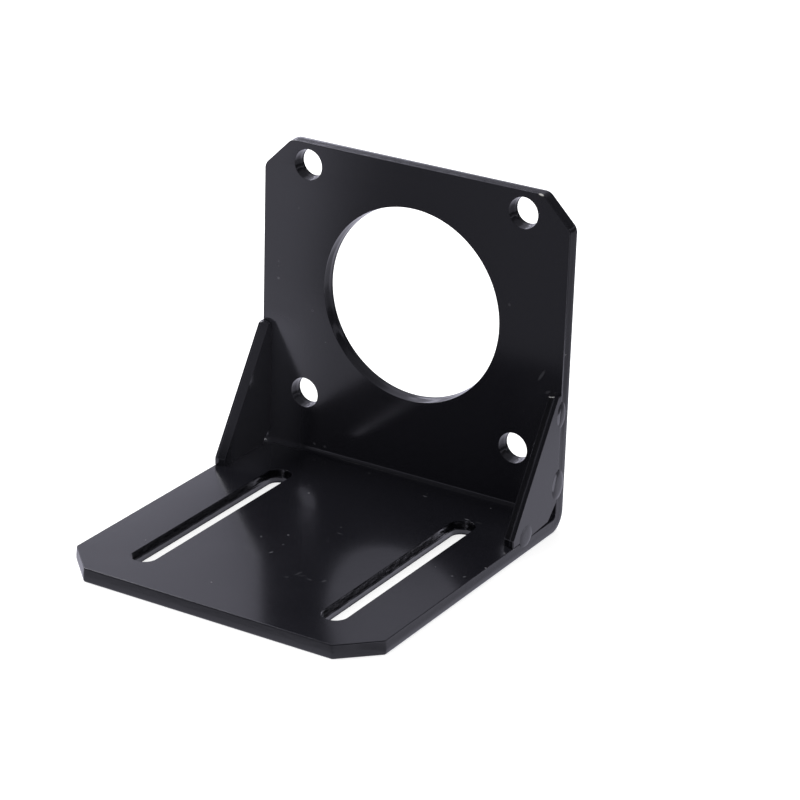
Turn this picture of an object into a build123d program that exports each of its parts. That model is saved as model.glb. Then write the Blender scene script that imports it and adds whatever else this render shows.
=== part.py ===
from build123d import *
import os

# Motor mounting bracket: a folded sheet-steel angle with two triangular gussets,
# tack welded flush with its side edges.
#
# Millimetres, +Z up.  The origin is the middle of the footprint on the underside
# of the base.  +Y points to the upright, which closes the back; X is the width.

# ---------------------------------------------------------------- driving sizes
# Folded angle
sheet_t = 2.8              # sheet with its paint
plate_width = 67.2
upright_height = 66.4      # underside of the base to the top edge
base_depth = 70.8          # front edge to the back of the upright
bend_radius = 1.0          # inside of the fold
upright_corner_cut = 6.0
upright_corner_round = 2.0     # where each cut runs into its sides
base_corner_cut = 6.8
base_corner_round = 0.6
plate_edge_round = 0.3     # deburred and painted outline
hole_edge_break = 0.12     # small chamfer on every hole and slot

# Motor interface in the upright
motor_bolt_pitch = 47.14   # square pattern
motor_bolt_hole_d = 5.8
motor_bolt_top_margin = 4.4    # upper bolt holes to the top edge
pilot_bore_d = 38.7

# Adjusting slots in the base
slot_pitch = 41.4
slot_width = 5.1
slot_length = 49.3         # over the round ends
slot_front_margin = 8.0    # front edge to the slot's end

# Gussets
gusset_t = 2.2
gusset_height = 25.4       # above the base
gusset_depth = 16.4        # in front of the upright
gusset_top_land = 1.4
gusset_toe_land = 1.5
gusset_heel_cut = 3.5      # clears the inside of the fold
gusset_nose_round = 0.8    # both blunt tips
gusset_edge_round = 0.25

# Tack welds, dressed nearly flush with the outside
tack_crown = 0.35
tack_dome_radius = 14.0
upper_tack_size = (3.2, 5.2)      # along Y, along Z
upper_tack_height = 24.1
lower_tack_size = (4.4, 6.0)
lower_tack_height = 9.8
toe_tack_size = (4.6, 4.2)
toe_tack_height = 3.6
toe_tack_reach = 11.7             # in front of the upright

# --------------------------------------------------------------- derived places
half_width = plate_width / 2
back_y = base_depth / 2
front_y = -base_depth / 2
motor_face_y = back_y - sheet_t          # inner face of the upright
outer_bend_radius = bend_radius + sheet_t
motor_axis_height = upright_height - motor_bolt_top_margin - motor_bolt_pitch / 2

os.makedirs("parts", exist_ok=True)


def angle_section():
    """L-shaped section of the sheet, folded round the inside radius."""
    outline = Polygon(
        (front_y, 0),
        (back_y, 0),
        (back_y, upright_height),
        (motor_face_y, upright_height),
        (motor_face_y, sheet_t),
        (front_y, sheet_t),
        align=None,
    )
    heel = outline.vertices().sort_by_distance((back_y, 0, 0))[0]
    outline = fillet(heel, outer_bend_radius)
    inside = outline.vertices().sort_by_distance((motor_face_y, sheet_t, 0))[0]
    return fillet(inside, bend_radius)


def motor_holes():
    """Pilot bore and the four bolt holes, as one tool that passes the upright."""
    wall_middle = Plane(
        origin=(0, motor_face_y + sheet_t / 2, motor_axis_height),
        x_dir=(1, 0, 0),
        z_dir=(0, 1, 0),
    )
    holes = Circle(pilot_bore_d / 2)
    for place in GridLocations(motor_bolt_pitch, motor_bolt_pitch, 2, 2):
        holes += place * Circle(motor_bolt_hole_d / 2)
    return extrude(wall_middle * holes, amount=sheet_t, both=True)


def base_slots():
    """Two parallel slots that run front to back, as one tool through the base."""
    slot_middle_y = front_y + slot_front_margin + slot_length / 2
    slots = Sketch()
    for side in (-1, 1):
        place = Pos(side * slot_pitch / 2, slot_middle_y)
        slots += place * SlotOverall(slot_length, slot_width, rotation=90)
    return extrude(Plane.XY.offset(sheet_t / 2) * slots, amount=sheet_t, both=True)


def skins(plate):
    """Faces that span the whole width: both sides of base, fold and upright."""
    full_width = plate_width - min(upright_corner_cut, base_corner_cut)
    return [f for f in plate.faces() if f.bounding_box().size.X > full_width]


def outline_edges(plate):
    """Edges where a skin of the sheet meets a cut side, and not another skin."""
    borders = [edge for skin in skins(plate) for edge in skin.edges()]
    return [e for e in borders if sum(e.is_same(other) for other in borders) == 1]


def hole_edges(plate):
    """Rims of the holes and slots, on both sides of the sheet."""
    return [edge for skin in skins(plate) for rim in skin.inner_wires() for edge in rim.edges()]


def make_bent_plate():
    plate = extrude(Plane.YZ * angle_section(), amount=half_width, both=True)
    top_corners = plate.edges().filter_by(Axis.Y).group_by(Axis.Z)[-1]
    plate = chamfer(top_corners, upright_corner_cut)
    front_corners = plate.edges().filter_by(Axis.Z).group_by(Axis.Y)[0]
    plate = chamfer(front_corners, base_corner_cut)
    upright_levels = plate.edges().filter_by(Axis.Y).group_by(Axis.Z)[-2:]
    plate = fillet(upright_levels[0] + upright_levels[1], upright_corner_round)
    base_levels = plate.edges().filter_by(Axis.Z).group_by(Axis.Y)[:2]
    plate = fillet(base_levels[0] + base_levels[1], base_corner_round)
    plate = fillet(outline_edges(plate), plate_edge_round)
    plate = plate - motor_holes() - base_slots()
    return chamfer(hole_edges(plate), hole_edge_break)


def make_gusset(side):
    """Triangular web in the corner, outer face flush with the angle's side edge."""
    top_z = sheet_t + gusset_height
    toe_y = motor_face_y - gusset_depth
    profile = Polygon(
        (motor_face_y, sheet_t + gusset_heel_cut),
        (motor_face_y, top_z),
        (motor_face_y - gusset_top_land, top_z),
        (toe_y, sheet_t + gusset_toe_land),
        (toe_y, sheet_t),
        (motor_face_y - gusset_heel_cut, sheet_t),
        align=None,
    )
    noses = [
        profile.vertices().sort_by_distance((motor_face_y - gusset_top_land, top_z, 0))[0],
        profile.vertices().sort_by_distance((toe_y, sheet_t + gusset_toe_land, 0))[0],
    ]
    profile = fillet(noses, gusset_nose_round)
    web = extrude(Plane.YZ.offset(half_width - gusset_t) * profile, amount=gusset_t)
    outlines = web.faces().filter_by(Axis.X).edges()
    web = fillet(outlines, gusset_edge_round)
    return web if side > 0 else mirror(web, about=Plane.YZ)


def make_tack(side, y, z, size):
    """Low domed oval of weld metal that bridges a seam on the outer face."""
    oval = extrude(Ellipse(size[0] / 2, size[1] / 2), amount=tack_crown)
    dome = Pos(0, 0, tack_crown - tack_dome_radius) * Sphere(tack_dome_radius)
    outer_face = Plane(origin=(half_width, y, z), x_dir=(0, 1, 0), z_dir=(1, 0, 0))
    tack = outer_face * (oval & dome)
    return tack if side > 0 else mirror(tack, about=Plane.YZ)


def build():
    nodes = {"bent_plate": make_bent_plate()}
    tacks = {
        "upper": (motor_face_y, upper_tack_height, upper_tack_size),
        "lower": (motor_face_y, lower_tack_height, lower_tack_size),
        "toe": (motor_face_y - toe_tack_reach, toe_tack_height, toe_tack_size),
    }
    for side, hand in ((-1, "left"), (1, "right")):
        nodes[f"gusset_{hand}"] = make_gusset(side)
        for place, (y, z, size) in tacks.items():
            nodes[f"tack_{place}_{hand}"] = make_tack(side, y, z, size)
    return nodes


for name, solid in build().items():
    export_step(solid, f"parts/{name}.step")
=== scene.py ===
import math

import bmesh
import bpy
from mathutils import Matrix, Vector


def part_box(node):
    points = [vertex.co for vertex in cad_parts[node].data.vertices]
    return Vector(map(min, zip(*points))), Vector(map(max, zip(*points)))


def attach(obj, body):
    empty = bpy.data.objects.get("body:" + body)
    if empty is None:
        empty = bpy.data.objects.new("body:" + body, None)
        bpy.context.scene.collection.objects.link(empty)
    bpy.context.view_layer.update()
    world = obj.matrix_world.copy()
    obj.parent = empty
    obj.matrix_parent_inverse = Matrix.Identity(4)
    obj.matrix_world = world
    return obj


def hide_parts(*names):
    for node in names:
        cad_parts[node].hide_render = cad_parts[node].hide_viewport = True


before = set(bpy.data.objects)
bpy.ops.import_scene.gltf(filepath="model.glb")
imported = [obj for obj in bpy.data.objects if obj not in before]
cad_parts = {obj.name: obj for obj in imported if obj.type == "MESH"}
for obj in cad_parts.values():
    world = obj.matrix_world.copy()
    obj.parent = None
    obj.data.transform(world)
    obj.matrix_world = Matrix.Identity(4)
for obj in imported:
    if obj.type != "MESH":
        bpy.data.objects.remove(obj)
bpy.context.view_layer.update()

# The motor mounting bracket, dressed: punched and sheared sheet edges, the fold, the
# dressed tack welds and the glossy black stoving paint with its dust and wear, partly
# painted glints, and with painted light in the corners behind the gussets.
# Metres, +Z up, +Y towards the upright.

mm = 0.001

# How near counts as the same, in metres, and how squarely a skin faces up or down
same_point = 2e-6
same_level = 1e-6
same_corner = 1e-5
same_plane = 1e-7
squarely = 0.9

# ------------------------------------------------------------------ sizes of the sheet
plate_lo, plate_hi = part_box("bent_plate")
gusset_lo, gusset_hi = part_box("gusset_right")
half_width = plate_hi.x
front_y, back_y = plate_lo.y, plate_hi.y
upright_top = plate_hi.z
sheet_t = 2.8 * mm
inside_bend = 1.0 * mm
outside_bend = inside_bend + sheet_t
motor_face_y = back_y - sheet_t
base_corner_cut = 6.8 * mm
base_corner_round = 0.6 * mm
upright_corner_cut = 6.0 * mm
upright_corner_round = 2.0 * mm

# Holes and slots at their narrowest, on the burnished land
bore_radius = 19.27 * mm
bolt_radius = 2.86 * mm
bolt_pitch = 47.14 * mm
bolt_top_margin = 4.4 * mm
motor_axis_z = upright_top - bolt_top_margin - bolt_pitch / 2
slot_pitch = 41.4 * mm
slot_width = 4.72 * mm
slot_length = 49.02 * mm
slot_front_margin = 8.14 * mm

gusset_t = gusset_hi.x - gusset_lo.x
gusset_top_land = 1.4 * mm
gusset_toe_land = 1.5 * mm
gusset_nose_round = 0.8 * mm
# By side, 1 on the right and -1 on the left: weld partly fills the left heel, and only
# the right gusset stands off the base behind its front end
heel_cut = {1: 3.5 * mm, -1: 2.5 * mm}
gap_turn = {1: math.radians(4.2), -1: 0.0}
gap_end = 10.5 * mm

# The flat blank: s runs from the front edge to the top edge, t from the outside in
bend_start = back_y - outside_bend - front_y
bend_allowance = math.pi / 2 * (inside_bend + sheet_t / 2)
bend_end = bend_start + bend_allowance
blank_length = bend_end + upright_top - outside_bend

# How finely the pieces are divided
bend_facets = 18
corner_facets = 5
plate_spacing = 0.7 * mm
gusset_spacing = 0.6 * mm
bore_corners = 178
bolt_corners = 42
slot_corners = 46
tack_corners = 44

# Sheared edges, from the punch side in: (share of the thickness, how far the wall
# stands back).  Roll-over, burnished land, torn and tapered fracture, rim.
plate_edge = (
    (0.000, 0.20 * mm),
    (0.018, 0.13 * mm),
    (0.055, 0.06 * mm),
    (0.125, 0.01 * mm),
    (0.180, 0.00 * mm),
    (0.300, 0.00 * mm),
    (0.440, 0.00 * mm),
    (0.500, 0.01 * mm),
    (0.600, 0.03 * mm),
    (0.700, 0.05 * mm),
    (0.800, 0.07 * mm),
    (0.900, 0.08 * mm),
    (0.940, 0.10 * mm),
    (0.975, 0.15 * mm),
    (1.000, 0.23 * mm),
)
gusset_edge = (
    (0.000, 0.20 * mm),
    (0.018, 0.13 * mm),
    (0.055, 0.06 * mm),
    (0.125, 0.01 * mm),
    (0.180, 0.00 * mm),
    (0.300, 0.00 * mm),
    (0.440, 0.00 * mm),
    (0.500, 0.03 * mm),
    (0.600, 0.10 * mm),
    (0.700, 0.16 * mm),
    (0.800, 0.22 * mm),
    (0.900, 0.29 * mm),
    (0.955, 0.33 * mm),
    (0.985, 0.34 * mm),
    (1.000, 0.38 * mm),
)
# A punched hole or slot, with a bead of paint hanging at its lower rim
punched_edge = (
    (0.000, -0.06 * mm),
    (0.030, -0.06 * mm),
    (0.080, -0.03 * mm),
    (0.120, 0.00 * mm),
    (0.300, 0.00 * mm),
    (0.440, 0.00 * mm),
    (0.500, 0.02 * mm),
    (0.600, 0.065 * mm),
    (0.700, 0.11 * mm),
    (0.800, 0.15 * mm),
    (0.900, 0.19 * mm),
    (0.955, 0.21 * mm),
    (0.985, 0.215 * mm),
    (1.000, 0.24 * mm),
)

# The torn zone, as shares of the thickness, how deep it tears and how coarse its grain is
fracture_from = 0.46
fracture_to = 0.94
plate_tear_depth = 0.30 * mm
gusset_tear_depth = 0.15 * mm
tear_grain = 0.55 * mm
# How much each place tears, by side: the slots tore the most, the right one above all
slot_tearing = {1: 1.0, -1: 0.5}
outline_tearing = 0.24
gusset_tearing = {1: 0.45, -1: 0.12}


# ------------------------------------------------------------------ bench tools
def clear_selection():
    if bpy.context.object and bpy.context.object.mode != "OBJECT":
        bpy.ops.object.mode_set(mode="OBJECT")
    bpy.ops.object.select_all(action="DESELECT")


def take(piece):
    clear_selection()
    piece.select_set(True)
    bpy.context.view_layer.objects.active = piece


def edit(piece, domain="VERT"):
    take(piece)
    bpy.ops.object.mode_set(mode="EDIT")
    bpy.ops.mesh.select_mode(type=domain)


def pick(test, domain="verts"):
    """Selects what passes the test, in the mesh being edited."""
    mesh = bpy.context.object.data
    bm = bmesh.from_edit_mesh(mesh)
    for part in (bm.verts, bm.edges, bm.faces):
        for item in part:
            item.select = False
    for item in getattr(bm, domain):
        if test(item):
            item.select = True
    bm.select_flush_mode()
    bmesh.update_edit_mesh(mesh)


def pick_all():
    bpy.ops.mesh.select_all(action="SELECT")


def face_outwards():
    pick_all()
    bpy.ops.mesh.normals_make_consistent(inside=False)


def middle(item):
    return sum((v.co for v in item.verts), Vector()) / len(item.verts)


def apply_modifiers(piece):
    take(piece)
    for modifier in list(piece.modifiers):
        bpy.ops.object.modifier_apply(modifier=modifier.name)


def fine_edges(spacing):
    """Divides every long straight edge of the face being edited evenly."""
    mesh = bpy.context.object.data
    bpy.ops.mesh.select_mode(type="EDGE")
    lengths = sorted({round(e.calc_length(), 6) for e in bmesh.from_edit_mesh(mesh).edges})
    for length in lengths:
        cuts = int(length / spacing)
        if cuts > 0:
            pick(lambda e: abs(e.calc_length() - length) < same_point, "edges")
            bpy.ops.mesh.subdivide(number_cuts=cuts)


def flat_sheet(name, centre, size):
    """A flat rectangle, left in edit mode for its corners to be cut."""
    clear_selection()
    bpy.ops.mesh.primitive_plane_add(size=1, location=(*centre, 0))
    sheet = bpy.context.object
    sheet.name = name
    sheet.scale = (*size, 1)
    bpy.ops.object.transform_apply(location=True, rotation=True, scale=True)
    edit(sheet)
    return sheet


def cut_corners(offset, segments=1):
    """Bevels the corners picked on the flat face being edited."""
    bpy.ops.mesh.bevel(
        offset=offset, affect="VERTICES", segments=segments, clamp_overlap=False
    )


def raise_ring(rise, grow, centre):
    """Extrudes the ring being edited, then changes its size about a centre."""
    bpy.ops.mesh.extrude_region_move(TRANSFORM_OT_translate={"value": (0, 0, rise)})
    bpy.ops.transform.resize(value=(grow, grow, 1), center_override=centre)


def sheared_slab(thickness, sheared_edge):
    """Raises the one flat face being edited, which is the widest section and lies on
    the punch side's plane, to a plate with a sheared edge and two closed skins."""
    shares = [share for share, back in sheared_edge]
    backs = [back for share, back in sheared_edge]
    first, last = backs.index(0.0), len(backs) - 1 - backs[::-1].index(0.0)
    pick_all()
    bpy.ops.transform.translate(value=(0, 0, shares[first] * thickness))
    bpy.ops.mesh.select_mode(type="FACE")
    for k in range(first, last):
        rise = (shares[k + 1] - shares[k]) * thickness
        bpy.ops.mesh.extrude_region_move(TRANSFORM_OT_translate={"value": (0, 0, rise)})
    face_outwards()
    land_top = shares[last] * thickness
    pick(
        lambda f: f.normal.z > squarely and abs(middle(f).z - land_top) < same_level,
        "faces",
    )
    for k in range(last, len(backs) - 1):
        rise = (shares[k + 1] - shares[k]) * thickness
        bpy.ops.mesh.inset(thickness=backs[k + 1] - backs[k], depth=rise)
    pick(lambda f: f.normal.z < -squarely, "faces")
    for k in range(first, 0, -1):
        drop = (shares[k] - shares[k - 1]) * thickness
        bpy.ops.mesh.inset(thickness=backs[k - 1] - backs[k], depth=drop)


def punch(name, x, s, radius, corners, stretch=0.0):
    """A punch whose side is the punched edge turned inside out.  A stretched punch
    cuts a slot: its two halves are moved apart along s."""
    clear_selection()
    overrun = 0.5 * mm
    steps = [(-overrun, punched_edge[0][1])]
    steps += [(share * sheet_t, back) for share, back in punched_edge]
    steps += [(sheet_t + overrun, punched_edge[-1][1])]
    bpy.ops.mesh.primitive_circle_add(
        vertices=corners,
        radius=radius + steps[0][1],
        fill_type="NGON",
        location=(x, s, steps[0][0]),
    )
    tool = bpy.context.object
    tool.name = name
    bpy.ops.object.transform_apply(location=True, rotation=True, scale=True)
    edit(tool, "FACE")
    pick_all()
    for (z, back), (next_z, next_back) in zip(steps, steps[1:]):
        grow = (radius + next_back) / (radius + back)
        raise_ring(next_z - z, grow, (x, s, next_z))
    if stretch:
        bpy.ops.mesh.select_mode(type="VERT")
        for side in (-1, 1):
            pick(lambda v: (v.co.y - s) * side > 0)
            bpy.ops.transform.translate(value=(0, side * stretch / 2, 0))
        bpy.ops.mesh.select_mode(type="EDGE")
        nearly_whole = 0.9 * stretch
        pick(
            lambda e: e.calc_length() > nearly_whole and abs(middle(e).y - s) < same_corner,
            "edges",
        )
        bpy.ops.mesh.subdivide(number_cuts=int(stretch / plate_spacing))
    face_outwards()
    clear_selection()
    return tool


def join(pieces):
    clear_selection()
    for piece in pieces:
        piece.select_set(True)
    bpy.context.view_layer.objects.active = pieces[0]
    bpy.ops.object.join()
    return pieces[0]


def weigh_normals(piece):
    """Smooth shading in which the big flat skins keep their true normals."""
    take(piece)
    bpy.ops.object.shade_smooth()
    modifier = piece.modifiers.new("true_flats", "WEIGHTED_NORMAL")
    modifier.mode = "FACE_AREA"
    modifier.weight = 100
    modifier.keep_sharp = False
    apply_modifiers(piece)


def tear_fracture(piece, thickness, depth, share_of):
    """Roughens the torn zone of a sheared edge: share_of(point) weighs each place.  The
    attribute torn tells the paint how dull each place is, with a trace on the land."""
    wall_from, wall_to, land_dullness = 0.02, 0.97, 0.1
    group = piece.vertex_groups.new(name="tear_depth")
    finish = []
    for vertex in piece.data.vertices:
        share = vertex.co.z / thickness
        inside = fracture_from < share < fracture_to
        tearing = share_of(vertex.co)
        group.add([vertex.index], tearing if inside else 0.0, "REPLACE")
        wall = wall_from < share < wall_to
        finish.append((tearing if inside else land_dullness) if wall else 0.0)
    torn = piece.data.attributes.new("torn", "FLOAT", "POINT")
    torn.data.foreach_set("value", finish)
    cloud = bpy.data.textures.new("torn_grain", "CLOUDS")
    cloud.noise_scale = tear_grain
    cloud.noise_depth = 2
    tear = piece.modifiers.new("tear", "DISPLACE")
    tear.texture = cloud
    tear.texture_coords = "LOCAL"
    tear.vertex_group = "tear_depth"
    tear.strength = depth
    tear.mid_level = 0.7
    apply_modifiers(piece)
    piece.vertex_groups.clear()


# ------------------------------------------------------------------ bent plate
def cut_blank():
    """The flat blank of the bent plate, punch side down, with its front edge at s 0."""
    size = (2 * half_width, blank_length)
    blank = flat_sheet("painted_plate", (0, blank_length / 2), size)
    eighth_turn = math.radians(45)
    for at_end, cut, corner_round in (
        (False, base_corner_cut, base_corner_round),
        (True, upright_corner_cut, upright_corner_round),
    ):
        pick(lambda v: (v.co.y > blank_length / 2) == at_end)
        cut_corners(cut)
        pick(lambda v: (v.co.y > blank_length / 2) == at_end)
        cut_corners(corner_round * math.tan(eighth_turn / 2), corner_facets)
    fine_edges(plate_spacing)
    sheared_slab(sheet_t, plate_edge)
    clear_selection()
    return blank


def punch_tools():
    motor_axis_s = bend_end + motor_axis_z - outside_bend
    tools = [punch("bore_punch", 0, motor_axis_s, bore_radius, bore_corners)]
    for sx in (-1, 1):
        for ss in (-1, 1):
            place = (sx * bolt_pitch / 2, motor_axis_s + ss * bolt_pitch / 2)
            tools.append(punch("bolt_punch", *place, bolt_radius, bolt_corners))
    slot_middle = slot_front_margin + slot_length / 2
    stretch = slot_length - slot_width
    for side in (-1, 1):
        place = (side * slot_pitch / 2, slot_middle)
        tools.append(punch("slot_punch", *place, slot_width / 2, slot_corners, stretch))
    return join(tools)


def folded(point):
    """Where a point of the flat blank goes when the sheet is folded."""
    x, s, t = point
    if s < bend_start:
        return (x, front_y + s, t)
    if s > bend_end:
        return (x, back_y - t, outside_bend + s - bend_end)
    turn = (s - bend_start) / bend_allowance * math.pi / 2
    radius = outside_bend - t
    y = back_y - outside_bend + radius * math.sin(turn)
    return (x, y, outside_bend - radius * math.cos(turn))


def plate_tearing(point):
    """How much the flat blank tears at a point of its holes, slots and outline."""
    beside = abs(abs(point.x) - slot_pitch / 2) < slot_width
    along = slot_front_margin / 2 < point.y < slot_front_margin * 1.5 + slot_length
    if beside and along:
        return slot_tearing[1 if point.x > 0 else -1]
    return outline_tearing


def make_plate():
    blank, tools = cut_blank(), punch_tools()
    cut = blank.modifiers.new("punch", "BOOLEAN")
    cut.operation = "DIFFERENCE"
    cut.solver = "EXACT"
    cut.object = tools
    apply_modifiers(blank)
    bpy.data.objects.remove(tools)
    edit(blank)
    for k in range(bend_facets + 1):
        pick_all()
        at = bend_start + bend_allowance * k / bend_facets
        bpy.ops.mesh.bisect(plane_co=(0, at, 0), plane_no=(0, 1, 0), threshold=same_plane)
    pick_all()
    bpy.ops.mesh.remove_doubles(threshold=same_point)
    clear_selection()
    tear_fracture(blank, sheet_t, plate_tear_depth, plate_tearing)
    for vertex in blank.data.vertices:
        vertex.co = folded(vertex.co)
    edit(blank, "FACE")
    face_outwards()
    weigh_normals(blank)
    return blank


# ------------------------------------------------------------------ gussets
# Welding drew the inner rims close to the angle.  How wide a rim is, and what share of
# its distance is left where it is welded and where the gap is
gusset_rim = 0.45 * mm
welded_rim_share = 0.06
gap_rim_share = 0.2


def seat_gusset(cut, turn):
    """Brings the inner rims of the two welded edges close to the angle, and lifts the
    bottom edge off the base behind the front end, where the weld left a gap."""
    bpy.ops.mesh.select_mode(type="VERT")
    for axis, near in (("x", (welded_rim_share, 1, 1)), ("y", (1, welded_rim_share, 1))):
        pick(lambda v: getattr(v.co, axis) < gusset_rim and v.co.z > fracture_from * gusset_t)
        bpy.ops.transform.resize(value=near, center_override=(0, 0, 0))
    pick(lambda v: v.co.y < gusset_rim and cut - gusset_rim < v.co.x < gap_end)
    bpy.ops.transform.resize(value=(1, gap_rim_share, 1), center_override=(0, 0, 0))
    bpy.ops.transform.rotate(
        value=turn, orient_axis="Z", center_override=(gap_end, 0, 0)
    )


def make_gusset(name, side):
    """Cut flat, u in front of the upright and v above the base, then stood in place
    with its punch side outwards."""
    depth, height = gusset_hi.y - gusset_lo.y, gusset_hi.z - gusset_lo.z
    web = flat_sheet(name, (depth / 2, height / 2), (depth, height))
    run, drop = depth - gusset_top_land, height - gusset_toe_land
    for place, away in (
        ((gusset_top_land, height, 0), (drop, run, 0)),
        ((heel_cut[side], 0, 0), (-1, -1, 0)),
    ):
        pick_all()
        bpy.ops.mesh.bisect(
            plane_co=place, plane_no=away, clear_outer=True, threshold=same_plane
        )
    lean = math.atan2(run, drop)
    noses = (
        (Vector((gusset_top_land, height, 0)), (math.pi / 2 + lean) / 2),
        (Vector((depth, gusset_toe_land, 0)), (math.pi - lean) / 2),
    )
    for nose, half_angle in noses:
        pick(lambda v: (v.co - nose).length < same_corner)
        cut_corners(gusset_nose_round / math.tan(half_angle), corner_facets)
    fine_edges(gusset_spacing)
    sheared_slab(gusset_t, gusset_edge)
    seat_gusset(heel_cut[side], gap_turn[side])
    clear_selection()
    tear_fracture(web, gusset_t, gusset_tear_depth, lambda point: gusset_tearing[side])
    stand = Matrix(
        (
            (0, 0, -side, side * half_width),
            (-1, 0, 0, motor_face_y),
            (0, 1, 0, sheet_t),
            (0, 0, 0, 1),
        )
    )
    web.data.transform(stand)
    edit(web, "FACE")
    face_outwards()
    weigh_normals(web)
    return web


# ------------------------------------------------------------------ tack welds
# (share of the bead's size, share of its crown)
tack_profile = (
    (0.97, 0.06),
    (0.91, 0.22),
    (0.83, 0.44),
    (0.73, 0.66),
    (0.60, 0.84),
    (0.44, 0.94),
    (0.26, 0.99),
    (0.10, 1.00),
)
tack_root = 0.15 * mm
# How proud each bead was left by dressing, as a share of its solid's crown
tack_pride = {"upper": 0.9, "lower": 0.85, "toe": 0.4}


def make_tack(name, node, side, pride):
    """A dressed bead: an oval raised in steps that shrink to a low, soft crown."""
    lo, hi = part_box(node)
    centre = (lo + hi) / 2
    clear_selection()
    bpy.ops.mesh.primitive_circle_add(vertices=tack_corners, radius=1, fill_type="NGON")
    bead = bpy.context.object
    bead.name = name
    bead.scale = ((hi.y - lo.y) / 2, (hi.z - lo.z) / 2, 1)
    bpy.ops.object.transform_apply(location=True, rotation=True, scale=True)
    edit(bead, "FACE")
    pick_all()
    bpy.ops.transform.translate(value=(0, 0, -tack_root))
    crown = (hi.x - lo.x) * pride
    last_rise, last_size = -tack_root, 1.0
    for size, height in ((1.0, 0.0),) + tack_profile:
        rise = height * crown
        raise_ring(rise - last_rise, size / last_size, (0, 0, rise))
        last_rise, last_size = rise, size
    bpy.ops.mesh.poke()
    clear_selection()
    stand = Matrix(
        (
            (0, 0, side, side * half_width),
            (1, 0, 0, centre.y),
            (0, 1, 0, centre.z),
            (0, 0, 0, 1),
        )
    )
    bead.data.transform(stand)
    edit(bead, "FACE")
    face_outwards()
    take(bead)
    bpy.ops.object.shade_smooth()
    return bead


# ------------------------------------------------------------------ shader bench
class Bench:
    """Adds nodes to a tree and wires them: numbers set a socket, sockets link it."""

    def __init__(self, tree):
        self.tree = tree

    def node(self, kind, settings=None, **sockets):
        made = self.tree.nodes.new("ShaderNode" + kind)
        for name, value in (settings or {}).items():
            setattr(made, name, value)
        for name, value in sockets.items():
            self.feed(made.inputs[name.replace("_", " ")], value)
        return made

    def feed(self, socket, value):
        if isinstance(value, bpy.types.NodeSocket):
            self.tree.links.new(value, socket)
        else:
            socket.default_value = value

    def feed_in_turn(self, made, values):
        """Feeds a node's inputs in their order, and gives its first output."""
        for socket, value in zip(made.inputs, values):
            self.feed(socket, value)
        return made.outputs[0]

    def math(self, operation, *values):
        return self.feed_in_turn(self.node("Math", {"operation": operation}), values)

    def times(self, first, *others):
        for other in others:
            first = self.math("MULTIPLY", first, other)
        return first

    def plus(self, first, second):
        return self.math("ADD", first, second)

    def less(self, first, second):
        return self.math("SUBTRACT", first, second)

    def larger(self, first, second):
        return self.math("MAXIMUM", first, second)

    def fade(self, value, start, end, low=0.0, high=1.0):
        """Low before start, high past end, and a soft change between them."""
        made = self.node("MapRange", {"interpolation_type": "SMOOTHSTEP"})
        return self.feed_in_turn(made, (value, start, end, low, high))

    def band(self, value, rise, fall):
        """One between a soft rise and a soft fall, and nothing beyond them."""
        return self.times(self.fade(value, *rise), self.fade(value, *fall, 1.0, 0.0))

    def blend(self, share, first, second):
        """Mixes two colours."""
        made = self.node("Mix", {"data_type": "RGBA"})
        colours = [socket for socket in made.inputs if socket.type == "RGBA"]
        for socket, value in zip((made.inputs[0], *colours), (share, first, second)):
            self.feed(socket, value)
        return next(socket for socket in made.outputs if socket.type == "RGBA")

    def blend_value(self, share, first, second):
        """Mixes two numbers."""
        made = self.node("Mix", {"data_type": "FLOAT"})
        for place, value in ((0, share), (2, first), (3, second)):
            self.feed(made.inputs[place], value)
        return made.outputs[0]

    def noise(self, place, scale, detail):
        return self.node("TexNoise", Vector=place, Scale=scale, Detail=detail).outputs[0]

    def group(self, tree, **inputs):
        return self.node("Group", {"node_tree": tree}, **inputs).outputs

    def object_place(self):
        return self.node("TexCoord").outputs["Object"]

    def split(self, vector):
        parts = self.node("SeparateXYZ", Vector=vector).outputs
        return parts["X"], parts["Y"], parts["Z"]


def cleared_bench(owner):
    """The bench of a material or world, with its node tree emptied."""
    owner.use_nodes = True
    owner.node_tree.nodes.clear()
    return Bench(owner.node_tree)


def shader_group(name, inputs, outputs):
    """A node group with named float inputs and outputs, its bench and its two ends."""
    tree = bpy.data.node_groups.new(name, "ShaderNodeTree")
    for socket, value in inputs.items():
        made = tree.interface.new_socket(socket, in_out="INPUT", socket_type="NodeSocketFloat")
        made.default_value = value
    for socket in outputs:
        tree.interface.new_socket(socket, in_out="OUTPUT", socket_type="NodeSocketFloat")
    ends = tree.nodes.new("NodeGroupInput"), tree.nodes.new("NodeGroupOutput")
    return tree, Bench(tree), ends[0].outputs, ends[1].inputs


def orange_peel_group():
    """The slight ripple of stoved paint, with a longer wave under it."""
    tree, b, given, gives = shader_group(
        "orange_peel", {"Peel": 1.0, "Wave": 1.0}, ["Height"]
    )
    peel_scale, wave_scale, wave_height = 900.0, 120.0, 3.0
    place = b.object_place()
    peel = b.times(b.noise(place, peel_scale, 1.0), given["Peel"])
    wave = b.times(b.noise(place, wave_scale, 1.0), given["Wave"], wave_height)
    b.feed(gives["Height"], b.plus(peel, wave))
    return tree


def settled_dust_group():
    """Sparse specks of dust, of uneven size, as a mask."""
    tree, b, given, gives = shader_group(
        "settled_dust", {"Amount": 0.5, "Speck Size": 0.22}, ["Mask"]
    )
    speck_scale = 900.0
    place = b.object_place()
    cells = b.node("TexVoronoi", {"feature": "F1"}, Vector=place, Scale=speck_scale)
    lottery = b.node("SeparateColor", Color=cells.outputs["Color"]).outputs
    size = b.times(given["Speck Size"], lottery[1])
    near = b.math("LESS_THAN", cells.outputs["Distance"], size)
    drawn = b.math("LESS_THAN", lottery[0], given["Amount"])
    b.feed(gives["Mask"], b.times(near, drawn))
    return tree


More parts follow.
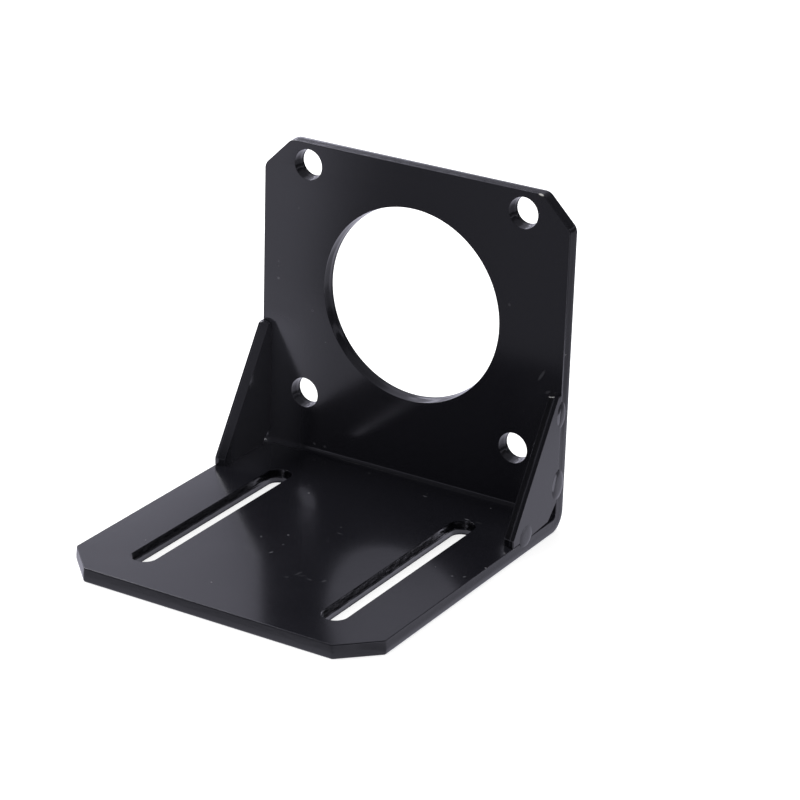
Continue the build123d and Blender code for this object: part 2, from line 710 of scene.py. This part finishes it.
def painted_corner_light_group():
    """Painted light that lifts the two corners behind the gussets from black to dark
    grey, strongest on the left, as a mask."""
    tree, b, given, gives = shader_group("painted_corner_light", {"Reach": 1.0}, ["Mask"])
    right_share = 0.12
    x, y, z = b.split(b.object_place())
    mask = b.times(
        b.band(b.math("ABSOLUTE", x), (21 * mm, 31 * mm), (32.5 * mm, 33.2 * mm)),
        b.fade(b.less(motor_face_y, y), 12 * mm, 18 * mm, 1.0, 0.0),
        b.fade(z, 26 * mm, 32 * mm, 1.0, 0.0),
        b.fade(x, -10 * mm, 10 * mm, 1.0, right_share),
        given["Reach"],
    )
    b.feed(gives["Mask"], mask)
    return tree


# Scuffs, scratches and chips of the plate, partly painted glints: the middle in mm, the
# turn in degrees, half the length, half the width in mm, and how strong.  On the base x, y ...
base_scuffs_and_glints = (
    (20.0, 22.5, -8, 0.75, 0.22, 1.0),
    (22.5, 22.5, 0, 0.9, 0.2, 0.3),
    (8.0, 27.0, -10, 0.7, 0.35, 0.5),
    (3.5, 3.5, 0, 0.9, 0.22, 0.35),
    (-4.0, -2.5, 0, 0.32, 0.32, 0.7),
    (-2.5, -6.5, 0, 0.32, 0.32, 0.45),
    (-2.5, -10.5, 70, 0.7, 0.25, 0.6),
    (3.5, -0.5, 0, 0.3, 0.3, 0.3),
    (5.5, -17.5, 20, 0.5, 0.25, 0.4),
    (6.5, -15.0, 80, 1.3, 0.22, 0.4),
    (7.5, -15.5, 35, 0.9, 0.2, 0.3),
    (9.5, -16.0, -5, 0.8, 0.25, 0.35),
    (12.0, -15.0, 75, 0.7, 0.3, 0.4),
    (-7.0, -11.5, -10, 1.8, 0.2, 0.25),
    (30.0, 0.0, 0, 0.35, 0.35, 0.5),
    (32.0, 1.0, 60, 0.5, 0.3, 0.5),
    (-22.0, 21.0, 0, 0.35, 0.3, 0.4),
    (-6.5, 30.0, 0, 0.3, 0.3, 0.45),
    (-13.0, 18.5, 0, 0.3, 0.3, 0.3),
)
# ... and on the upright x, z
upright_scuffs_and_glints = (
    (29.0, 31.0, 60, 1.6, 0.35, 0.35),
    (30.5, 28.0, 30, 0.8, 0.35, 0.3),
    (-30.0, 37.5, 0, 0.35, 0.35, 0.8),
    (-30.0, 41.0, 0, 0.3, 0.3, 0.3),
    (-22.0, 32.5, 0, 0.3, 0.3, 0.3),
    (21.5, 43.5, 0, 0.3, 0.35, 0.4),
    (-21.0, 4.5, 0, 0.35, 0.3, 0.5),
    (-18.5, 4.5, 0, 0.4, 0.3, 0.4),
)
# paint chips whose bare-metal grey is partly a painted glint
top_corner_chip_glint = Vector((27.0, 32.7, 66.3)) * mm
front_edge_chip_glint = Vector((27.6, -35.2, 2.7)) * mm


def plate_wear_and_glints_group():
    """The scuffs and chips, partly painted glints, as two masks: soft ovals and small spots
    at their places.
    """
    tree, b, given, gives = shader_group("plate_wear_and_glints", {"Scuffing And Glints": 1.0}, ["Scuffs", "Chips And Glints"])
    place = b.object_place()
    off_plane = 0.5 * mm

    def oval(spot, turn, size, strength):
        moved = b.node(
            "Mapping",
            {"vector_type": "TEXTURE"},
            Vector=place,
            Location=spot,
            Rotation=turn,
            Scale=size,
        )
        reach = b.node("VectorMath", {"operation": "LENGTH"}, Vector=moved.outputs[0])
        return b.fade(reach.outputs["Value"], 0.45, 1.0, strength, 0.0)

    scuffs_and_glints = 0.0
    for x, y, turn, long, wide, strength in base_scuffs_and_glints:
        spot = (x * mm, y * mm, sheet_t)
        size = (long * mm, wide * mm, off_plane)
        scuffs_and_glints = b.larger(scuffs_and_glints, oval(spot, (0, 0, math.radians(turn)), size, strength))
    for x, z, turn, long, wide, strength in upright_scuffs_and_glints:
        spot = (x * mm, motor_face_y, z * mm)
        size = (long * mm, off_plane, wide * mm)
        scuffs_and_glints = b.larger(scuffs_and_glints, oval(spot, (0, math.radians(-turn), 0), size, strength))
    b.feed(gives["Scuffs"], b.times(scuffs_and_glints, given["Scuffing And Glints"]))
    top = oval(top_corner_chip_glint, (0, math.radians(14), 0), (0.8 * mm, 0.4 * mm, 0.3 * mm), 1.0)
    front = oval(front_edge_chip_glint, (0, 0, 0), (0.4 * mm, 0.36 * mm, 0.36 * mm), 1.0)
    b.feed(gives["Chips And Glints"], b.larger(top, front))
    return tree


peel_group = orange_peel_group()
dust_group = settled_dust_group()
corner_light_group = painted_corner_light_group()
wear_and_glints_group = plate_wear_and_glints_group()


# ------------------------------------------------------------------ black paint
stoved_black = (0.0078, 0.0078, 0.0105, 1)
# lifted black of the painted light in the corners behind the gussets
corner_lit_black = (0.034, 0.034, 0.042, 1)
torn_black = (0.0018, 0.0018, 0.0026, 1)
dust_grey = (0.12, 0.12, 0.13, 1)
# pale grey of the scuffs, partly painted glints
scuff_and_glint_grey = (0.085, 0.085, 0.095, 1)
# bare-metal grey of the chips, partly a painted glint
chip_and_glint_grey = (0.55, 0.54, 0.52, 1)

gloss_roughness = 0.15
torn_roughness = 0.05       # added to the gloss
dust_roughness = 0.7
scuff_and_glint_roughness = 0.45
dust_amount = 0.015         # share of the places where a speck may lie
torn_grain_height = 20.0    # in heights of the orange peel
torn_grain_scale = 2600.0
gloss_cloud_scale = 60.0
ripple_depth = 0.0000022


def black_paint(name, marked=False):
    """Thick glossy black stoving paint, duller and darker on the torn edges, and lifted by
    painted light in the corners behind the gussets.  Marked paint has the scuffs and
    chips of the plate, partly painted glints."""
    material = bpy.data.materials.new(name)
    b = cleared_bench(material)
    place = b.object_place()
    peel = b.group(peel_group, Peel=1.0, Wave=1.0)["Height"]
    specks = b.group(dust_group, Amount=dust_amount)["Mask"]
    corner_light = b.group(corner_light_group)["Mask"]
    torn = b.node("Attribute", {"attribute_name": "torn"}).outputs["Fac"]
    grain = b.noise(place, torn_grain_scale, 3.0)
    height = b.plus(peel, b.times(torn, grain, torn_grain_height))
    bump = b.node("Bump", Height=height, Strength=1.0, Distance=ripple_depth)
    clouds = b.noise(place, gloss_cloud_scale, 3.0)
    dull = b.fade(clouds, 0.3, 0.7, gloss_roughness * 0.92, gloss_roughness * 1.1)
    dull = b.plus(dull, b.times(torn, torn_roughness))
    dull = b.larger(dull, b.times(specks, dust_roughness))
    # painted light lifts the corners behind the gussets
    colour = b.blend(corner_light, stoved_black, corner_lit_black)
    colour = b.blend(b.times(torn, 2.0), colour, torn_black)
    colour = b.blend(specks, colour, dust_grey)
    if marked:
        worn_and_glints = b.group(wear_and_glints_group)
        # scuffs and chips of the plate, partly painted glints
        colour = b.blend(worn_and_glints["Scuffs"], colour, scuff_and_glint_grey)
        colour = b.blend(worn_and_glints["Chips And Glints"], colour, chip_and_glint_grey)
        dull = b.larger(dull, b.times(worn_and_glints["Scuffs"], scuff_and_glint_roughness))
    paint = b.node(
        "BsdfPrincipled", Base_Color=colour, Roughness=dull, Normal=bump.outputs[0]
    )
    b.node("OutputMaterial", Surface=paint.outputs[0])
    return material


paints = {
    "plate_paint": black_paint("plate_paint", marked=True),
    "gusset_paint": black_paint("gusset_paint"),
    "tack_paint": black_paint("tack_paint"),
}


# ------------------------------------------------------------------ put together
def dress(piece, node, slot):
    piece.data.materials.clear()
    piece.data.materials.append(paints[slot])
    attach(piece, "root")
    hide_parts(node)


dress(make_plate(), "bent_plate", "plate_paint")
for side, hand in ((-1, "left"), (1, "right")):
    dress(make_gusset(f"painted_gusset_{hand}", side), f"gusset_{hand}", "gusset_paint")
    for place, pride in tack_pride.items():
        node = f"tack_{place}_{hand}"
        dress(make_tack(f"dressed_{node}", node, side, pride), node, "tack_paint")
clear_selection()


# ------------------------------------------------------------------ studio
scene = bpy.context.scene
scene.view_settings.view_transform = "Standard"
mirrored_tint = (0.95, 0.94, 1.11)      # the cool tint of what the paint mirrors


def show_mirrored_apart(b, seen, mirrored):
    """Shows one shader directly, and the other where the paint mirrors it."""
    mixed = b.node("MixShader", Fac=b.node("LightPath").outputs["Is Glossy Ray"])
    b.feed(mixed.inputs[1], seen.outputs[0])
    b.feed(mixed.inputs[2], mirrored.outputs[0])
    return mixed.outputs[0]


def tinted(b, level):
    """A colour socket: the cool tint times a level, of which 1 is white."""
    red, green, blue = (b.times(level, share) for share in mirrored_tint)
    return b.node("CombineColor", Red=red, Green=green, Blue=blue).outputs[0]


# What the paint mirrors of the floor: painted light and painted shadow, by place.  Each
# fade is where it starts, where it ends and, unless it goes from 0 to 1, its two levels.
# Across is measured along the foot of the upright, and carried forward on lines that
# slant to the left.
across_slant = -0.596
outline_blur = 0.4 * mm
left_fade = (-28 * mm, -17 * mm, 1.10, 0.70)
right_rise = (0.0, 28 * mm, 0.0, 0.19)
right_rise_cut = (20 * mm, 34 * mm, 1.0, 0.4)
far_right_fade = (52 * mm, 78 * mm, 1.0, 0.45)

# In front of the base it darkens with painted shadow, from the left on
front_fade = (front_y - 1 * mm, front_y - 10 * mm)
front_from_left = (-36 * mm, -10 * mm)
front_shade = 0.66
near_band_start = (-46 * mm, -41 * mm)
near_band_change = (-36 * mm, -10 * mm, 0.37, -0.22)

# A narrow strip along the base's right side: a little lighter next to it, then in painted
# shadow
strip_change = (half_width + 0.8 * mm, half_width + 1.4 * mm, 0.10, -0.22)
strip_inner = (half_width - outline_blur, half_width)
strip_outer = (half_width + 3.4 * mm, half_width + 4.6 * mm)
strip_front = (front_y - 1 * mm, front_y)
strip_back = (10 * mm, 30 * mm)

# A painted patch of light that lies to the right of the base, cut off at a slant in front
light_patch_slant = 0.9
light_patch_front = (-29.5 * mm, -23.5 * mm, 0.0, 2.6)
light_patch_inner = (12 * mm, 16 * mm)
light_patch_outer = (80 * mm, 100 * mm)

# Painted shadow under the bracket, apart from painted light that falls through the slots
under_shade = 0.85
slot_shade, slot_light = 0.18, 1.4
slot_light_left = (-2.1 * mm, -1.7 * mm)
slot_light_right = (-1.1 * mm, -0.6 * mm, 1.0, 0.0)


def under_bracket(b, x, y):
    """The footprint of the base, with its two cut corners, as a mask."""
    out = b.math("ABSOLUTE", x)
    corner = half_width - front_y - base_corner_cut
    return b.times(
        b.fade(out, half_width - outline_blur, half_width, 1.0, 0.0),
        b.band(y, (front_y, front_y + outline_blur), (back_y - outline_blur, back_y)),
        b.fade(b.less(out, y), corner - outline_blur, corner, 1.0, 0.0),
    )


def light_through_slots(b, x, y):
    """Where the slots are, as a mask, and how bright the floor is in them: painted light
    along the left and at the back, painted shadow elsewhere."""
    in_slot = b.less(x, b.times(b.math("SIGN", x), slot_pitch / 2))
    start, half_slot = front_y + slot_front_margin, slot_width / 2
    end = start + slot_length
    opening = b.times(
        b.fade(b.math("ABSOLUTE", in_slot), half_slot, half_slot + outline_blur, 1.0, 0.0),
        b.band(y, (start, start + outline_blur), (end - outline_blur, end)),
    )
    back_light = b.fade(y, end - 3.0 * mm, end - 2.4 * mm)
    lit = b.larger(b.fade(in_slot, *slot_light_right), back_light)
    lit = b.times(lit, b.fade(in_slot, *slot_light_left))
    return opening, b.fade(lit, 0.0, 1.0, slot_shade, slot_light)


def mirrored_floor(b):
    """How bright the floor glows where the paint mirrors it, by place round the bracket:
    painted light and painted shadow.
    """
    x, y = b.split(b.object_place())[:2]
    across = b.plus(x, b.times(b.less(y, motor_face_y), across_slant))
    in_front = b.fade(y, *front_fade)
    bright = b.fade(across, *left_fade)
    rise = b.times(b.fade(across, *right_rise), b.fade(x, *right_rise_cut))
    bright = b.plus(bright, rise)
    # painted shadow in front of the base
    shade = b.times(b.fade(across, *front_from_left), in_front, front_shade)
    bright = b.times(bright, b.less(1.0, shade), b.fade(x, *far_right_fade))
    # painted shadow beside the base's right side
    strip = b.times(
        b.fade(x, *strip_change),
        b.band(x, strip_inner, strip_outer),
        b.band(y, strip_front, strip_back),
    )
    bright = b.times(bright, b.plus(1.0, strip))
    # painted light and shade just in front of the base, lighter on the left
    near_band = b.times(in_front, b.fade(y, *near_band_start), b.fade(x, *near_band_change))
    bright = b.times(bright, b.plus(1.0, near_band))
    # painted patch of light to the right of the base
    aside = b.less(x, half_width)
    slant = b.less(b.times(aside, light_patch_slant), y)
    light_patch = b.times(b.fade(slant, *light_patch_front), b.band(aside, light_patch_inner, light_patch_outer))
    bright = b.larger(bright, light_patch)
    # painted shadow under the bracket, painted light in the slots
    level = b.less(1.0, b.times(under_bracket(b, x, y), under_shade))
    opening, slot_level = light_through_slots(b, x, y)
    return b.times(bright, b.blend_value(opening, level, slot_level))


def make_floor():
    """A plain white floor.  Seen directly it is white with the object's shadow; where the
    paint mirrors it, it glows with painted light and painted shadow, darker in front of
    the bracket and under it."""
    clear_selection()
    bpy.ops.mesh.primitive_plane_add(size=6)
    floor = bpy.context.object
    floor.name = "floor"
    material = bpy.data.materials.new("white_floor")
    b = cleared_bench(material)
    floor_white = (0.85, 0.85, 0.85, 1)
    white_lift = 0.6
    camera_ray = b.node("LightPath").outputs["Is Camera Ray"]
    matte = b.node("BsdfDiffuse", Color=floor_white)
    lift = b.node("Emission", Strength=b.times(camera_ray, white_lift))
    seen = b.node("AddShader")
    b.feed_in_turn(seen, (matte.outputs[0], lift.outputs[0]))
    mirrored = b.node("Emission", Color=tinted(b, mirrored_floor(b)), Strength=1.0)
    b.node("OutputMaterial", Surface=show_mirrored_apart(b, seen, mirrored))
    floor.data.materials.append(material)


# What the paint mirrors of the room, by heading: X is to the right, Y to the back and Z
# up.  The fades are given as the floor's are.
to_the_back = (-0.05, 0.25)
back_wall = (-0.555, -0.450, 0.79, 0.50)
back_wall_fall = (-0.27, -0.02, 0.0, 0.48)
high_light = (0.48, 0.66)
high_light_side = (-0.54, -0.44, 2.0, 0.2)
level_light_side = (-0.53, -0.45, 2.0, 0.5)
level_light_from, level_light_to = (0.21, 0.28), (0.325, 0.35)
dim_band_side = (-0.520, -0.505, 0.0, 0.95)
dim_band_from, dim_band_to = (0.335, 0.355), (0.419, 0.431)
left_light_side = (-0.56, -0.47, 0.7, 0.0)
left_light_from, left_light_top = (-0.62, -0.57), (0.60, 0.70, 1.0, 0.0)
horizon = (0.0, 0.15, 1.0, 0.0)
horizon_side = (-0.54, -0.42, 1.25, 0.8)
least_light = 0.05
even_light = 0.75


def mirrored_room(b):
    """How bright the room is in the paint: bright behind the bracket, brightest to the
    left, and dim in front of it apart from a low glow and a light at the left."""
    x, y, z = b.split(b.node("TexCoord").outputs["Generated"])
    behind = b.less(b.fade(x, *back_wall), b.fade(x, *back_wall_fall))
    high = b.times(b.fade(z, *high_light), b.fade(x, *high_light_side))
    behind = b.plus(behind, high)
    level = b.times(b.fade(x, *level_light_side), b.band(z, level_light_from, level_light_to))
    behind = b.plus(behind, level)
    dim = b.times(b.band(z, dim_band_from, dim_band_to), b.fade(x, *dim_band_side))
    behind = b.times(behind, b.less(1.0, dim))
    left = b.times(
        b.fade(x, *left_light_side), b.fade(x, *left_light_from), b.fade(z, *left_light_top)
    )
    low = b.times(b.fade(z, *horizon), b.fade(x, *horizon_side))
    share = b.fade(y, *to_the_back)
    ahead = b.times(b.larger(left, low), b.less(1.0, share))
    return b.plus(b.times(share, behind), b.plus(ahead, least_light))


def make_world():
    """Even pale light all round.  The paint mirrors a room that is brighter in places."""
    world = bpy.data.worlds.new("studio")
    scene.world = world
    b = cleared_bench(world)
    even = b.node("Background", Color=(1, 1, 1, 1), Strength=even_light)
    mirrored = b.node("Background", Color=tinted(b, mirrored_room(b)), Strength=1.0)
    b.node("OutputWorld", Surface=show_mirrored_apart(b, even, mirrored))


def make_softbox(name, place, size, power):
    """A square soft light aimed at the bracket."""
    light = bpy.data.lights.new(name, "AREA")
    light.energy = power
    light.size = size
    lamp = bpy.data.objects.new(name, light)
    scene.collection.objects.link(lamp)
    lamp.location = place
    lamp.rotation_mode = "QUATERNION"
    aim = Vector((0, 0, 0.03)) - Vector(place)
    lamp.rotation_quaternion = aim.to_track_quat("-Z", "Y")


def make_camera():
    """A long lens, from the front right and above, rolled a little."""
    azimuth, elevation, roll = (math.radians(a) for a in (30.80, 22.78, 1.75))
    distance, focal_length = 0.59775, 137.84
    aim_left, aim_up = 0.83 * mm, 17.51 * mm
    ahead = Vector(
        (
            -math.sin(azimuth) * math.cos(elevation),
            math.cos(azimuth) * math.cos(elevation),
            -math.sin(elevation),
        )
    )
    level = Vector((math.cos(azimuth), math.sin(azimuth), 0))
    upright = level.cross(ahead)
    right = math.cos(roll) * level + math.sin(roll) * upright
    up = math.cos(roll) * upright - math.sin(roll) * level
    aim = Vector((0, motor_face_y, 0)) - aim_left * right + aim_up * up
    place = aim - distance * ahead
    lens = bpy.data.cameras.new("studio_camera")
    camera = bpy.data.objects.new("studio_camera", lens)
    scene.collection.objects.link(camera)
    scene.camera = camera
    lens.sensor_width = 36.0
    lens.lens = focal_length
    lens.clip_start, lens.clip_end = 0.01, 20.0
    camera.matrix_world = Matrix(
        (
            (right.x, up.x, -ahead.x, place.x),
            (right.y, up.y, -ahead.y, place.y),
            (right.z, up.z, -ahead.z, place.z),
            (0, 0, 0, 1),
        )
    )


make_floor()
make_world()
make_softbox("overhead_softbox", place=(-0.70, 0.14, 0.62), size=0.50, power=6.0)
make_camera()
